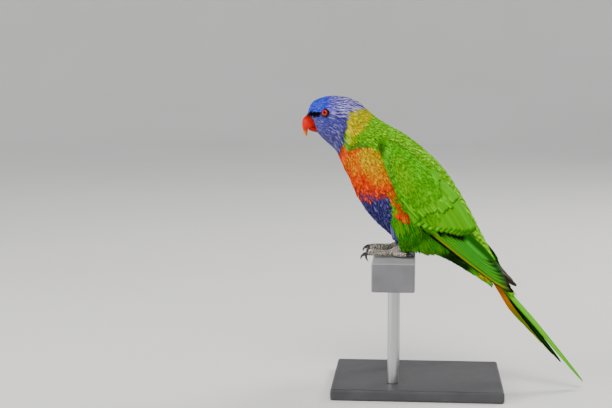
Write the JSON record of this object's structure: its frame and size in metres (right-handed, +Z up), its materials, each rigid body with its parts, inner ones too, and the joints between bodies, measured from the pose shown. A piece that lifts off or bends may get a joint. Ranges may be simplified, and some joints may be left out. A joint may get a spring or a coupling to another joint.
{
  "type": "rainbow lorikeet",
  "caption": "Still life-size rainbow lorikeet gripping a short cut length of flat metal rail, held over a plain flat base by short rods.",
  "frame": {"origin": "middle of the flat underside of the stand's base, on the floor", "axes": "+Z up; the bird faces -X and its tail points to +X; +Y is its right side"},
  "size_m": [0.1998, 0.0976, 0.209],
  "materials": {
    "head_feathers": "soft blue-violet feathers",
    "neck_feathers": "soft yellow and green feathers",
    "body_feathers": "soft orange, red, purple and green feathers",
    "tail_feathers": "smooth yellow-green feathers",
    "wing_feathers": "smooth green feathers",
    "thigh_feathers": "soft green feathers",
    "bill_horn": "smooth glossy horn",
    "eye": "wet glossy eye, red iris round a black pupil",
    "foot_skin": "dry grey scaled skin",
    "claw_horn": "smooth black horn",
    "rail_metal": "satin grey paint, lightly weathered",
    "cap_plastic": "matt black moulded cap",
    "stand_base": "satin black coating",
    "stand_steel": "brushed"
  },
  "bodies": {
    "root": {"bill_lower": "bill_horn", "bill_upper": "bill_horn", "claw_left_1": "claw_horn", "claw_left_2": "claw_horn", "claw_left_3": "claw_horn", "claw_left_4": "claw_horn", "claw_right_1": "claw_horn", "claw_right_2": "claw_horn", "claw_right_3": "claw_horn", "claw_right_4": "claw_horn", "eye_left": "eye", "eye_right": "eye", "foot_left": "foot_skin", "foot_right": "foot_skin", "head": "head_feathers", "neck": "neck_feathers", "perch_cap_left": "cap_plastic", "perch_cap_right": "cap_plastic", "perch_rail": "rail_metal", "stand_base": "stand_base", "stand_rod_left": "stand_steel", "stand_rod_right": "stand_steel", "tail": "tail_feathers", "thigh_left": "thigh_feathers", "thigh_right": "thigh_feathers", "torso": "body_feathers", "wing_left": "wing_feathers", "wing_right": "wing_feathers"}
  },
  "joints": []
}
